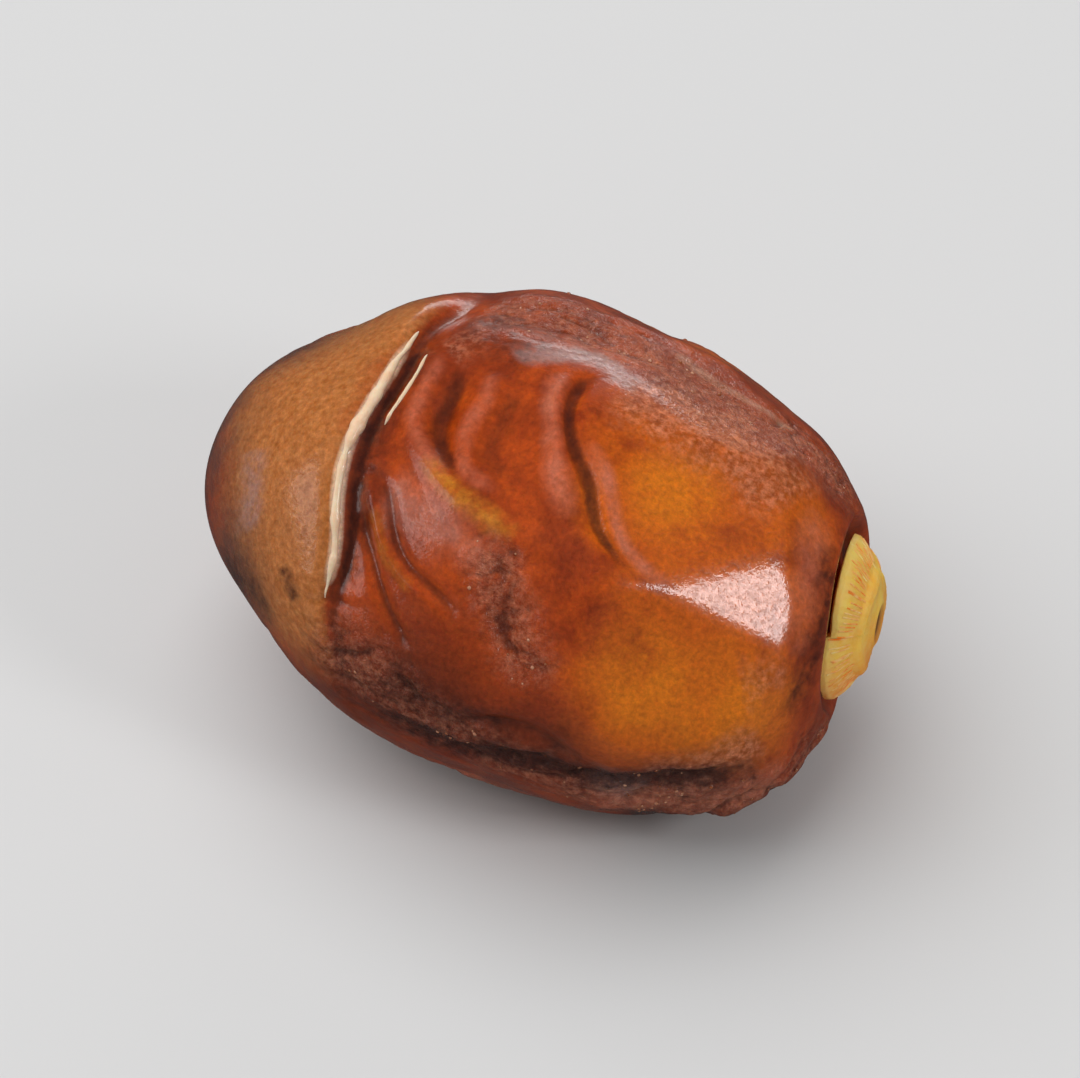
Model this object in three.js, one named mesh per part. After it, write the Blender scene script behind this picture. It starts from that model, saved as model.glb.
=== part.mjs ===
import * as THREE from 'three';
import { mergeVertices } from 'three/addons/utils/BufferGeometryUtils.js';

// One ripe, soft date lying on its side, with the yellow calyx still on its stem end.
// Millimetres. X runs along the fruit from its tip to the calyx, and Z is up.

// Driving dimensions of the fruit
const fruitHalfLength = 17.8;
const fruitHalfWidth = 13.3;
const fruitHalfHeight = 11.9;
const fruitAround = 80;
const fruitRings = 72;

// The flat spot under its weight: four corners, and beyond its sides the skin rises by the slope
const restLevel = -10.7;
const restBlend = 0.2;
const restMiddle = { x: 2.1, y: -0.3 };
const restHalfLength = 4.6;
const restHalfWidth = 3.6;
const restSlope = 0.1;

// How the egg shape departs from an ellipsoid, as shares of its width and height
const stemHalfSwell = 0.13;
const middleSwell = -0.02;
const stemEndBluntness = 0.08;

// The stem half leans to the front and down, and the tip the other way
const stemHalfLean = 1.7;
const stemEndReturn = 0.75;
const tipHalfLean = 1.1;
const leanFront = 0.88;
const leanDown = 0.47;

// Driving dimensions of the calyx and of the hollow that it sits in
const calyxRadius = 4.4;
const calyxOverhang = 0.95;
const calyxSegments = 54;
const hollowRadius = 5.4;
const hollowFloorRadius = 4.3;
const hollowDepth = 1.45;
const rimRise = 0.2;
const rimRadius = 5.8;
const rimWidth = 0.9;

// A place on the skin is [x in mm, degrees around]: 0 is the top, 90 the front side, towards -Y.
// Each flat that was pressed into the soft body is a plane through three places.
const pressedFlats = [
  [[8.6, 40], [14.4, 19], [14.6, 51]],
  [[8.6, 40], [14.4, 19], [8.4, 2]],
  [[8.6, 40], [14.6, 51], [10.0, 80]],
  [[3.0, -20], [12.6, -14], [10.0, -46]],
];
const flatBlend = 0.2;

// Swells are broad bulges, or dents where the height is below zero.
const swells = [
  { at: [-4.9, 14], height: -0.55, radius: 3.2 },
  { at: [-5.2, 50], height: -0.6, radius: 3.8 },
  { at: [-1.5, 62], height: -0.35, radius: 3.6 },
  { at: [0.4, 14], height: -0.4, radius: 3.0 },
  { at: [3.0, 54], height: -0.4, radius: 3.0 },
  { at: [9.5, 14], height: 0.35, radius: 5.0 },
  { at: [9.5, 70], height: 0.4, radius: 5.5 },
  { at: [-13.0, 20], height: 0.3, radius: 4.5 },
  { at: [5.0, -28], height: -0.45, radius: 4.0 },
  { at: [12.5, -34], height: -0.3, radius: 3.6 },
  { at: [-3.5, -42], height: 0.4, radius: 4.5 },
  { at: [8.5, 110], height: -0.45, radius: 3.4 },
  { at: [14.2, 130], height: 1.0, radius: 4.4 },
  { at: [2.0, 112], height: -0.45, radius: 4.2 },
  { at: [-7.0, 122], height: 0.4, radius: 4.0 },
  { at: [-9.0, -74], height: -0.5, radius: 4.2 },
  { at: [3.0, -92], height: -0.55, radius: 4.5 },
  { at: [11.0, -84], height: 0.45, radius: 4.5 },
  { at: [-4.0, -112], height: 0.5, radius: 4.4 },
  { at: [8.0, -128], height: -0.5, radius: 4.2 },
  { at: [-12.0, -138], height: -0.35, radius: 3.8 },
];

// Folds are narrow: grooves where the height is below zero, soft ridges where it is above.
const folds = [
  { path: [[-6.1, -8], [-6.3, 0], [-6.6, 8], [-7.1, 16]], height: 0.25, width: 0.8 },
  { path: [[-5.2, -8], [-5.4, 5], [-5.3, 15], [-4.3, 25], [-2.2, 32], [1.8, 37]], height: 0.42, width: 0.9 },
  { path: [[-3.7, -4], [-3.9, 8], [-3.8, 19], [-2.4, 27], [0.6, 32]], height: -0.32, width: 0.8 },
  { path: [[-2.1, -4], [-2.2, 6], [-2.5, 17], [-2.0, 26], [0.8, 29]], height: 0.36, width: 0.8 },
  { path: [[-0.7, 2], [-0.9, 12], [-0.9, 20], [0.6, 25]], height: -0.28, width: 0.8 },
  { path: [[1.2, -6], [1.5, 4], [2.3, 12], [3.0, 21], [4.0, 33]], height: 0.2, width: 0.8 },
  { path: [[1.9, -8], [2.2, -1], [2.9, 9], [4.1, 20], [5.6, 31], [8.4, 39]], height: -0.55, width: 0.8 },
  { path: [[4.0, 10], [5.2, 20], [6.3, 26], [7.6, 32], [9.6, 38]], height: 0.25, width: 0.8 },
  { path: [[-7.6, 34], [-6.2, 44], [-4.2, 53], [-1.4, 64]], height: 0.32, width: 0.8 },
  { path: [[-7.0, 34], [-5.5, 44], [-3.4, 54], [-0.6, 62]], height: -0.34, width: 0.8 },
  { path: [[-7.6, 42], [-6.4, 51], [-5.0, 62], [-2.8, 76]], height: -0.28, width: 0.8 },
  { path: [[0.0, 44], [1.8, 48], [1.4, 56], [2.6, 66]], height: -0.34, width: 0.8 },
  { path: [[-4.8, 84], [-1.0, 88], [3.4, 86], [6.6, 92]], height: -0.4, width: 0.88 },
  { path: [[-6.4, 97], [-1.2, 102], [4.2, 98], [8.4, 98], [12.0, 100], [15.0, 106]], height: -0.42, width: 0.9 },
  { path: [[5.8, 110], [10.0, 117], [13.8, 130]], height: 0.35, width: 1 },
  { path: [[-12.2, 118], [-6.0, 133], [0.4, 126]], height: -0.4, width: 1 },
  { path: [[-4.2, -18], [0.4, -24], [5.8, -26], [10.8, -28], [14.8, -36]], height: -0.2, width: 1 },
  { path: [[-1.4, -31], [4.2, -38], [9.8, -40]], height: 0.25, width: 1.12 },
  { path: [[-11.5, -56], [-5.0, -62], [1.6, -57], [8.4, -62], [13.6, -56]], height: -0.5, width: 1 },
  { path: [[-10.4, -88], [-4.4, -94], [2.6, -104], [9.4, -100]], height: -0.5, width: 1.12 },
  { path: [[-1.8, -76], [4.2, -80], [9.2, -75], [14.2, -82]], height: 0.4, width: 1.12 },
  { path: [[-13.4, -104], [-8.2, -118], [-1.4, -126], [5.2, -121]], height: -0.45, width: 1 },
  { path: [[5.4, -112], [9.6, -108], [14.2, -116]], height: -0.4, width: 0.88 },
  { path: [[-6.4, -146], [0.8, -150], [8.6, -146], [13.2, -150]], height: -0.45, width: 1 },
];
const foldFade = 0.2;

// Folds wander a little from their paths, and are higher in some places than in others
const wanderLength = 6;
const wanderReach = 0.22;
const wanderPhase = 4;
const foldUnevenness = 0.07;
const foldUnevenLength = 5;

// The whole skin is slightly uneven
const unevenLength = 7.5;
const unevenHeight = 0.09;

// The loose skin at the tip ends in one sharp lip, with a narrow valley on its stem side
const lip = {
  path: [[-4.6, -56], [-6.0, -36], [-6.8, -18], [-7.6, 0], [-8.2, 20], [-8.3, 38], [-8.1, 58], [-7.8, 76], [-5.2, 122]],
  rise: 0.55,
  riseReach: 4.2,
  drop: 0.5,
  dropReach: 1.4,
  edge: 0.3,
};

// Patches of leathery puckers, each along a path and as wide as its reach on both sides
const puckerPatches = [
  { path: [[-2.0, -26], [2.0, -26], [7.0, -26], [11.4, -28], [15.0, -38]], reach: 2.6, depth: 0.15 },
  { path: [[0.8, 46], [1.6, 54], [3.0, 64]], reach: 1.9, depth: 0.26 },
  { path: [[-6.0, 86], [0.0, 97], [7.8, 106], [12.4, 116], [15.6, 132]], reach: 2.8, depth: 0.26 },
  { path: [[-11.0, -70], [-3.0, -78], [5.0, -70]], reach: 4.0, depth: 0.3 },
  { path: [[-8.0, -134], [1.0, -128], [10.0, -136]], reach: 4.6, depth: 0.32 },
  { path: [[-9.0, 140], [0.0, 146], [9.0, 150]], reach: 4.0, depth: 0.26 },
];
const puckerLength = 3.4;
const puckerStretch = 1.8;
const puckerSharpness = 0.7;
const puckerPhase = 1;
const puckerBalance = 0.5;
const waveDirections = 9;
const goldenAngle = Math.PI * (3 - Math.sqrt(5));

const pathSamples = 24;
const degrees = Math.PI / 180;

// The plain body under the folds, for a unit direction
function bodyPoint(direction) {
  const t = direction.x;
  const bluntness = stemEndBluntness * (t ** 5 + t ** 6);
  const girth = 1 + stemHalfSwell * t + middleSwell * t * t + bluntness;
  const stemLean = -stemHalfLean * t * (1 - stemEndReturn * t ** 4);
  const lean = t > 0 ? stemLean : -tipHalfLean * t;
  return new THREE.Vector3(
    fruitHalfLength * t,
    fruitHalfWidth * girth * direction.y + leanFront * lean,
    fruitHalfHeight * girth * direction.z + leanDown * lean,
  );
}

function bodyNormal(direction) {
  return new THREE.Vector3(
    direction.x / fruitHalfLength,
    direction.y / fruitHalfWidth,
    direction.z / fruitHalfHeight,
  ).normalize();
}

function placeDirection(x, around) {
  const t = x / fruitHalfLength;
  const flat = Math.sqrt(1 - t * t);
  const angle = around * degrees;
  return new THREE.Vector3(t, -flat * Math.sin(angle), flat * Math.cos(angle));
}

// Moves a height over a floor so that it never falls below it, with a soft start
function clearHeight(above, blend) {
  const near = THREE.MathUtils.clamp(above, -blend, blend);
  return above > blend ? above : (near + blend) ** 2 / (4 * blend);
}

function planeThrough(places) {
  return new THREE.Plane().setFromCoplanarPoints(...places.map((place) => bodyPoint(placeDirection(...place))));
}

// A plane's normal points inwards here, whichever way round its three places are
const flatPlanes = pressedFlats.map((places) => {
  const plane = planeThrough(places);
  return plane.constant < 0 ? plane.negate() : plane;
});

function pressed(point) {
  for (const plane of flatPlanes) {
    const inside = plane.distanceToPoint(point);
    point.addScaledVector(plane.normal, clearHeight(inside, flatBlend) - inside);
  }
  return point;
}

// A path becomes short steps on the body, each with its share of the way and the direction to its tip side
function laidPath(path) {
  const curve = new THREE.SplineCurve(path.map(([x, around]) => new THREE.Vector2(x, around)));
  const directions = curve.getPoints(pathSamples).map(({ x, y }) => placeDirection(x, y));
  const points = directions.map(bodyPoint);
  return points.map((point, i) => {
    const before = points[Math.max(i - 1, 0)];
    const after = points[Math.min(i + 1, pathSamples)];
    const halfStep = before.distanceTo(after) / 4;
    const along = new THREE.Vector3().subVectors(after, before).normalize();
    const tipSide = new THREE.Vector3().crossVectors(along, bodyNormal(directions[i]));
    return { point, along, halfStep, tipSide, share: i / pathSamples };
  });
}

function nearestOn(laid, point) {
  let nearest = { distance: Infinity };
  for (const { point: middle, along, halfStep, tipSide, share } of laid) {
    const offset = new THREE.Vector3().subVectors(point, middle);
    const run = THREE.MathUtils.clamp(offset.dot(along), -halfStep, halfStep);
    const distance = offset.addScaledVector(along, -run).length();
    if (distance < nearest.distance) {
      const fullShare = share + run / (2 * halfStep * pathSamples);
      nearest = { distance, side: offset.dot(tipSide), share: fullShare };
    }
  }
  return nearest;
}

function endFade(share) {
  return THREE.MathUtils.smoothstep(Math.min(share, 1 - share), 0, foldFade);
}

const bell = (offset, width) => Math.exp(-((offset / width) ** 2));

// Crossing ripples of one wavelength, which read as leathery skin where their sum is near zero
function crossingWaves(point, wavelength, phase) {
  let sum = 0;
  for (let i = 0; i < waveDirections; i += 1) {
    const height = 1 - (2 * i + 1) / waveDirections;
    const flat = Math.sqrt(1 - height * height);
    const turn = goldenAngle * i + phase;
    const along = flat * (point.x * Math.cos(turn) + point.y * Math.sin(turn)) + height * point.z;
    sum += Math.sin((2 * Math.PI * along) / wavelength + phase * (i + 1));
  }
  return sum / Math.sqrt(waveDirections / 2);
}

function lipHeight(laid, point) {
  const { side, distance, share } = nearestOn(laid, point);
  const onTipSide = 1 / (1 + Math.exp(-side / lip.edge));
  const raised = lip.rise * bell(distance, lip.riseReach) * onTipSide;
  const sunk = lip.drop * bell(distance, lip.dropReach) * (1 - onTipSide);
  return (raised - sunk) * endFade(share);
}

const laidFolds = folds.map((fold) => ({ ...fold, laid: laidPath(fold.path) }));
const laidPatches = puckerPatches.map((patch) => ({ ...patch, laid: laidPath(patch.path) }));
const laidLip = laidPath(lip.path);
const placedSwells = swells.map((swell) => ({ ...swell, centre: bodyPoint(placeDirection(...swell.at)) }));

function wandered(point, normal) {
  const shift = [0, 1, 2].map((i) => wanderReach * crossingWaves(point, wanderLength, wanderPhase + i));
  return new THREE.Vector3(...shift).projectOnPlane(normal).add(point);
}

function puckerCrease(point) {
  const stretched = new THREE.Vector3(point.x / puckerStretch, point.y, point.z);
  return bell(crossingWaves(stretched, puckerLength, puckerPhase), puckerSharpness);
}

function reliefHeight(body, normal) {
  const point = wandered(body, normal);
  const strength = 1 + foldUnevenness * crossingWaves(body, foldUnevenLength, wanderPhase);
  let height = lipHeight(laidLip, point) + unevenHeight * crossingWaves(body, unevenLength, wanderPhase);
  for (const swell of placedSwells) {
    height += swell.height * bell(point.distanceTo(swell.centre), swell.radius);
  }
  for (const fold of laidFolds) {
    const { distance, share } = nearestOn(fold.laid, point);
    height += strength * fold.height * bell(distance, fold.width) * endFade(share);
  }
  const crease = puckerCrease(body);
  for (const patch of laidPatches) {
    const { distance } = nearestOn(patch.laid, point);
    height += patch.depth * bell(distance, patch.reach) * (puckerBalance - crease);
  }
  return height;
}

// The hollow for the calyx, with the raised rim of skin round it
function stemHollow(point) {
  if (point.x < 0) {
    return 0;
  }
  const radius = Math.hypot(point.y - stemCentre.y, point.z - stemCentre.z);
  const sunk = hollowDepth * (1 - THREE.MathUtils.smoothstep(radius, hollowFloorRadius, hollowRadius));
  return rimRise * bell(radius - rimRadius, rimWidth) - sunk;
}

// Soft flesh settles into one flat spot where it lies
function settledHeight({ x, y, z }) {
  const pastEnd = Math.abs(x - restMiddle.x) - restHalfLength;
  const pastSide = Math.abs(y - restMiddle.y) - restHalfWidth;
  const floor = restLevel + restSlope * Math.max(pastEnd, pastSide, 0);
  return floor + clearHeight(z - floor, restBlend);
}

const stemCentre = bodyPoint(new THREE.Vector3(1, 0, 0));

function skinPoint(direction) {
  const body = bodyPoint(direction);
  const normal = bodyNormal(direction);
  const point = pressed(body.clone().addScaledVector(normal, reliefHeight(body, normal)));
  point.x += stemHollow(point);
  point.z = settledHeight(point);
  return point;
}

function mergedGeometry(geometry) {
  geometry.deleteAttribute('normal');
  geometry.deleteAttribute('uv');
  return mergeVertices(geometry);
}

function movePoints(geometry, move) {
  const position = geometry.getAttribute('position');
  const point = new THREE.Vector3();
  for (let i = 0; i < position.count; i += 1) {
    point.fromBufferAttribute(position, i);
    position.setXYZ(i, ...move(point));
  }
  geometry.computeVertexNormals();
  return geometry;
}

// The mesh has a point at each corner of the flat spot
function pinRestCorners(geometry) {
  const position = geometry.getAttribute('position');
  const point = new THREE.Vector3();
  for (const [endSide, frontSide] of [[-1, -1], [-1, 1], [1, -1], [1, 1]]) {
    const corner = new THREE.Vector3(
      restMiddle.x + endSide * restHalfLength,
      restMiddle.y + frontSide * restHalfWidth,
      restLevel,
    );
    let nearest = 0;
    let least = Infinity;
    for (let i = 0; i < position.count; i += 1) {
      const distance = point.fromBufferAttribute(position, i).distanceTo(corner);
      if (distance < least) {
        least = distance;
        nearest = i;
      }
    }
    position.setXYZ(nearest, ...corner);
  }
  geometry.computeVertexNormals();
  return geometry;
}

function fruitGeometry() {
  const sphere = mergedGeometry(new THREE.SphereGeometry(1, fruitAround, fruitRings).rotateZ(-Math.PI / 2));
  return pinRestCorners(movePoints(sphere, (point) => skinPoint(point.normalize())));
}

// The calyx: a thick disc of three broad lobes that overlap, a three-toothed ring and the stalk's scar
const lobeCount = 3;
const lobeNotch = 0.12;
const lobeNotchWidth = 0.13;
const lobeOverlap = 0.36;
const lobeRoot = 1.4;
const ringRadius = 2.5;
const ringWidth = 0.5;
const toothRise = 0.1;
const faceFall = 0.95;
const profileTop = 1.06;
const calyxProfile = [
  [0, -0.62],
  [2.4, -0.56],
  [3.9, -0.36],
  [calyxRadius, -0.02],
  [calyxRadius - 0.06, 0.24],
  [3.9, 0.5],
  [3.3, 0.64],
  [2.95, 0.74],
  [2.75, 0.94],
  [ringRadius, 1.02],
  [2.15, 0.96],
  [1.75, 0.92],
  [1.3, 0.98],
  [1.1, profileTop],
  [0.85, 0.9],
  [0, 0.78],
];

function calyxPoint(point) {
  const radius = Math.hypot(point.x, point.z);
  const turn = Math.atan2(point.z, point.x) / (2 * Math.PI) + 0.5;
  const lobeShare = (turn * lobeCount) % 1;
  const fromSeam = Math.min(lobeShare, 1 - lobeShare);
  const outward = THREE.MathUtils.smoothstep(radius, lobeRoot, calyxRadius);
  const notch = 1 - lobeNotch * outward * bell(fromSeam, lobeNotchWidth);
  const tooth = toothRise * bell(radius - ringRadius, ringWidth) * -Math.cos(2 * Math.PI * lobeShare);
  const overlap = lobeOverlap * outward * (0.5 - lobeShare);
  const fall = -faceFall * (radius / calyxRadius) ** 2;
  return new THREE.Vector3(
    stemCentre.x + calyxOverhang - profileTop + point.y + overlap + tooth + fall,
    stemCentre.y + notch * point.z,
    stemCentre.z + notch * point.x,
  );
}

function calyxGeometry() {
  const profile = calyxProfile.map(([radius, height]) => new THREE.Vector2(radius, height));
  const disc = mergedGeometry(new THREE.LatheGeometry(profile, calyxSegments));
  return movePoints(disc, calyxPoint);
}

function namedMesh(name, geometry, material) {
  const mesh = new THREE.Mesh(geometry, material);
  mesh.name = name;
  return mesh;
}

// The origin ends up under the middle of the whole date, on the surface that it lies on
function standOnOrigin(group) {
  const box = new THREE.Box3().setFromObject(group);
  const centre = box.getCenter(new THREE.Vector3());
  for (const mesh of group.children) {
    mesh.position.set(-centre.x, -centre.y, -box.min.z);
  }
  return group;
}

const skinMaterial = new THREE.MeshStandardMaterial({ color: 0x9c4a12, roughness: 0.3, metalness: 0 });
const calyxMaterial = new THREE.MeshStandardMaterial({ color: 0xf0b040, roughness: 0.6, metalness: 0 });

const date = new THREE.Group();
date.add(namedMesh('date_fruit', fruitGeometry(), skinMaterial));
date.add(namedMesh('calyx_cap', calyxGeometry(), calyxMaterial));

export default standOnOrigin(date);
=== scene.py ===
import math

import bpy
import numpy as np
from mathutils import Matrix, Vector


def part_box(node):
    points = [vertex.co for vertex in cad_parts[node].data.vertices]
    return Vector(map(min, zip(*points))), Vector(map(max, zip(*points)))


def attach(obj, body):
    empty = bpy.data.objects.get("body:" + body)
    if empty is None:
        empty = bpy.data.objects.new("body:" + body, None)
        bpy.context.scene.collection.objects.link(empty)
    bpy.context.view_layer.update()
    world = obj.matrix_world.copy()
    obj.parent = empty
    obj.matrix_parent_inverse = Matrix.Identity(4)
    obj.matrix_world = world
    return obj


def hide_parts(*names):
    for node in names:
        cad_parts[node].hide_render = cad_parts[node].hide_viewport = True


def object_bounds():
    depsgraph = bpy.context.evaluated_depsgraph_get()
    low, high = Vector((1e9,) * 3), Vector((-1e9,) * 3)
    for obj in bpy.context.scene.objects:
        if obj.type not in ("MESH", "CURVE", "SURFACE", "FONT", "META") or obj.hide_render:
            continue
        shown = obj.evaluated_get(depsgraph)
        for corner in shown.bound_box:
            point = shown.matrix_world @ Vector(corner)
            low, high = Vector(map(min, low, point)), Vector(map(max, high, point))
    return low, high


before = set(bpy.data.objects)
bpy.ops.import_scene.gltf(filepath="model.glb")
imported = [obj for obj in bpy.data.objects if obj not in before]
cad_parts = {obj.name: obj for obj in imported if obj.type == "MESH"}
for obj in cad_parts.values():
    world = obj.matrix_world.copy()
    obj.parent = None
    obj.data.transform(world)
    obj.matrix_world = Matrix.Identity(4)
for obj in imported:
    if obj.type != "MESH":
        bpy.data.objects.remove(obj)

# A ripe soft date on its side. Shapes are worked out in millimetres, as the solids are, and made in metres.
mm = 0.001
cadBox = [[float(value) for value in corner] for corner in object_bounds()]
fruitBox = [Vector(corner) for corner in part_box("date_fruit")]

# Driving dimensions of the fruit, the same as its solid has
fruit = {
    "halfLength": 17.8,
    "halfWidth": 13.3,
    "halfHeight": 11.9,
    "stemHalfSwell": 0.13,
    "middleSwell": -0.02,
    "stemEndBluntness": 0.08,
    "stemHalfLean": 1.7,
    "stemEndReturn": 0.75,
    "tipHalfLean": 1.1,
    "leanFront": 0.88,
    "leanDown": 0.47,
    "restLevel": -10.7,
    "restBlend": 0.2,
    "restMiddle": (2.1, -0.3),
    "restHalfLength": 4.6,
    "restHalfWidth": 3.6,
    "restSlope": 0.1,
    "quadsAcross": 127,
}

hollow = {"radius": 5.4, "floorRadius": 4.3, "depth": 1.45, "rimRise": 0.2, "rimRadius": 5.8, "rimWidth": 0.9}

# A place on the skin is [x in mm, degrees around]: 0 is the top, 90 the front side, towards -Y.
# Each flat that was pressed into the soft body is a plane through three places.
pressedFlats = [
    [[8.6, 40], [14.4, 19], [14.6, 51]],
    [[8.6, 40], [14.4, 19], [8.4, 2]],
    [[8.6, 40], [14.6, 51], [10.0, 80]],
    [[3.0, -20], [12.6, -14], [10.0, -46]],
]
flatBlend = 0.2

# Each swell is a place, a height and a radius. Dents have a height below zero.
swells = [
    [[-4.9, 14], -0.55, 3.2],
    [[-5.2, 50], -0.6, 3.8],
    [[-1.5, 62], -0.35, 3.6],
    [[0.4, 14], -0.4, 3.0],
    [[3.0, 54], -0.4, 3.0],
    [[9.5, 14], 0.35, 5.0],
    [[9.5, 70], 0.4, 5.5],
    [[-13.0, 20], 0.3, 4.5],
    [[5.0, -28], -0.45, 4.0],
    [[12.5, -34], -0.3, 3.6],
    [[-3.5, -42], 0.4, 4.5],
    [[8.5, 110], -0.45, 3.4],
    [[14.2, 130], 1.0, 4.4],
    [[2.0, 112], -0.45, 4.2],
    [[-7.0, 122], 0.4, 4.0],
    [[-9.0, -74], -0.5, 4.2],
    [[3.0, -92], -0.55, 4.5],
    [[11.0, -84], 0.45, 4.5],
    [[-4.0, -112], 0.5, 4.4],
    [[8.0, -128], -0.5, 4.2],
    [[-12.0, -138], -0.35, 3.8],
]

# Each fold is a path, a height and a width. Grooves have a height below zero.
folds = [
    [[[-6.1, -8], [-6.3, 0], [-6.6, 8], [-7.1, 16]], 0.2, 0.45],
    [[[-5.2, -8], [-5.4, 5], [-5.3, 15], [-4.3, 25], [-2.2, 32], [1.8, 37]], 0.42, 0.9],
    [[[-3.7, -4], [-3.9, 8], [-3.8, 19], [-2.4, 27], [0.6, 32]], -0.32, 0.65],
    [[[-2.1, -4], [-2.2, 6], [-2.5, 17], [-2.0, 26], [0.8, 29]], 0.36, 0.75],
    [[[-0.7, 2], [-0.9, 12], [-0.9, 20], [0.6, 25]], -0.2, 0.7],
    [[[1.2, -6], [1.5, 4], [2.3, 12], [3.0, 21], [4.0, 33]], 0.2, 0.45],
    [[[1.9, -8], [2.2, -1], [2.9, 9], [4.1, 20], [5.6, 31], [8.4, 39]], -0.4, 0.5],
    [[[4.0, 10], [5.2, 20], [6.3, 26], [7.6, 32], [9.6, 38]], 0.24, 0.5],
    [[[-7.6, 34], [-6.2, 44], [-4.2, 53], [-1.4, 64]], 0.28, 0.45],
    [[[-7.0, 34], [-5.5, 44], [-3.4, 54], [-0.6, 62]], -0.32, 0.45],
    [[[-7.6, 42], [-6.4, 51], [-5.0, 62], [-2.8, 76]], -0.26, 0.45],
    [[[0.0, 44], [1.8, 48], [1.4, 56], [2.6, 66]], -0.3, 0.55],
    [[[-4.8, 84], [-1.0, 88], [3.4, 86], [6.6, 92]], -0.36, 0.7],
    [[[-6.4, 97], [-1.2, 102], [4.2, 98], [8.4, 98], [12.0, 100], [15.0, 106]], -0.4, 0.7],
    [[[5.8, 110], [10.0, 117], [13.8, 130]], 0.35, 0.8],
    [[[-12.2, 118], [-6.0, 133], [0.4, 126]], -0.4, 0.8],
    [[[-4.2, -18], [0.4, -24], [5.8, -26], [10.8, -28], [14.8, -36]], -0.18, 0.8],
    [[[-1.4, -31], [4.2, -38], [9.8, -40]], 0.25, 0.9],
    [[[-11.5, -56], [-5.0, -62], [1.6, -57], [8.4, -62], [13.6, -56]], -0.5, 0.8],
    [[[-10.4, -88], [-4.4, -94], [2.6, -104], [9.4, -100]], -0.5, 0.9],
    [[[-1.8, -76], [4.2, -80], [9.2, -75], [14.2, -82]], 0.4, 0.9],
    [[[-13.4, -104], [-8.2, -118], [-1.4, -126], [5.2, -121]], -0.45, 0.8],
    [[[5.4, -112], [9.6, -108], [14.2, -116]], -0.4, 0.75],
    [[[-6.4, -146], [0.8, -150], [8.6, -146], [13.2, -150]], -0.45, 0.8],
]
foldFade = 0.2

# Folds wander a little from their paths and vary in height, and the whole skin is slightly uneven
uneven = {
    "wanderLength": 6,
    "wanderReach": 0.22,
    "wanderPhase": 4,
    "foldShare": 0.07,
    "foldLength": 5,
    "skinLength": 7.5,
    "skinHeight": 0.09,
}

lip = {
    "path": [
        [-4.6, -56],
        [-6.0, -36],
        [-6.8, -18],
        [-7.6, 0],
        [-8.2, 20],
        [-8.3, 38],
        [-8.1, 58],
        [-7.8, 76],
        [-5.2, 122],
    ],
    "rise": 0.55,
    "riseReach": 4.2,
    "drop": 0.5,
    "dropReach": 1.4,
    "edge": 0.2,
}

# Each patch of leathery puckers is a path, a reach on both sides and a depth
puckerPatches = [
    [[[-2.0, -26], [2.0, -26], [7.0, -26], [11.4, -28], [15.0, -38]], 2.6, 0.15],
    [[[0.8, 46], [1.6, 54], [3.0, 64]], 1.9, 0.26],
    [[[-6.0, 86], [0.0, 97], [7.8, 106], [12.4, 116], [15.6, 132]], 2.8, 0.26],
    [[[-11.0, -70], [-3.0, -78], [5.0, -70]], 4.0, 0.3],
    [[[-8.0, -134], [1.0, -128], [10.0, -136]], 4.6, 0.32],
    [[[-9.0, 140], [0.0, 146], [9.0, 150]], 4.0, 0.26],
]

# Creases of the patches, and two finer ones than the solid has, each as [length, stretch, sharpness, phase]
puckerCreases = [3.4, 1.8, 0.7, 1]
puckerBalance = 0.5
fineCreases = [
    [[1.6, 1.7, 0.6, 2], 0.1],
    [[0.85, 1.4, 0.6, 3], 0.06],
]

pathSamples = 32
waveDirections = 9
goldenAngle = math.pi * (3 - math.sqrt(5))


def smoothStep(value, low, high):
    share = np.clip((value - low) / (high - low), 0, 1)
    return share * share * (3 - 2 * share)


def bell(offset, width):
    return np.exp(-((offset / width) ** 2))


def bodyPoints(directions):
    t = directions[:, 0]
    girth = 1 + fruit["stemHalfSwell"] * t + fruit["middleSwell"] * t**2
    girth = girth + fruit["stemEndBluntness"] * (t**5 + t**6)
    stemLean = -fruit["stemHalfLean"] * t * (1 - fruit["stemEndReturn"] * t**4)
    lean = np.where(t > 0, stemLean, -fruit["tipHalfLean"] * t)
    x = fruit["halfLength"] * t
    y = fruit["halfWidth"] * girth * directions[:, 1] + fruit["leanFront"] * lean
    z = fruit["halfHeight"] * girth * directions[:, 2] + fruit["leanDown"] * lean
    return np.stack([x, y, z], axis=1)


def unit(vectors):
    return vectors / np.linalg.norm(vectors, axis=-1, keepdims=True)


def bodyNormals(directions):
    halves = np.array([fruit["halfLength"], fruit["halfWidth"], fruit["halfHeight"]])
    return unit(directions / halves)


def placeDirections(places):
    places = np.asarray(places, dtype=float)
    t = places[:, 0] / fruit["halfLength"]
    flat = np.sqrt(1 - t**2)
    around = np.radians(places[:, 1])
    return np.stack([t, -flat * np.sin(around), flat * np.cos(around)], axis=1)


# Keeps a height over a floor from falling below it, with a soft start
def clearHeight(above, blend):
    near = np.clip(above, -blend, blend)
    return np.where(above > blend, above, (near + blend) ** 2 / (4 * blend))


# Pushes the skin in where it stands past a pressed flat
def pressed(points):
    for places in pressedFlats:
        one, two, three = bodyPoints(placeDirections(places))
        inward = unit(np.cross(two - one, three - one))
        if one @ inward > 0:
            inward = -inward
        inside = (points - one) @ inward
        points += (clearHeight(inside, flatBlend) - inside)[:, None] * inward
    return points


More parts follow.
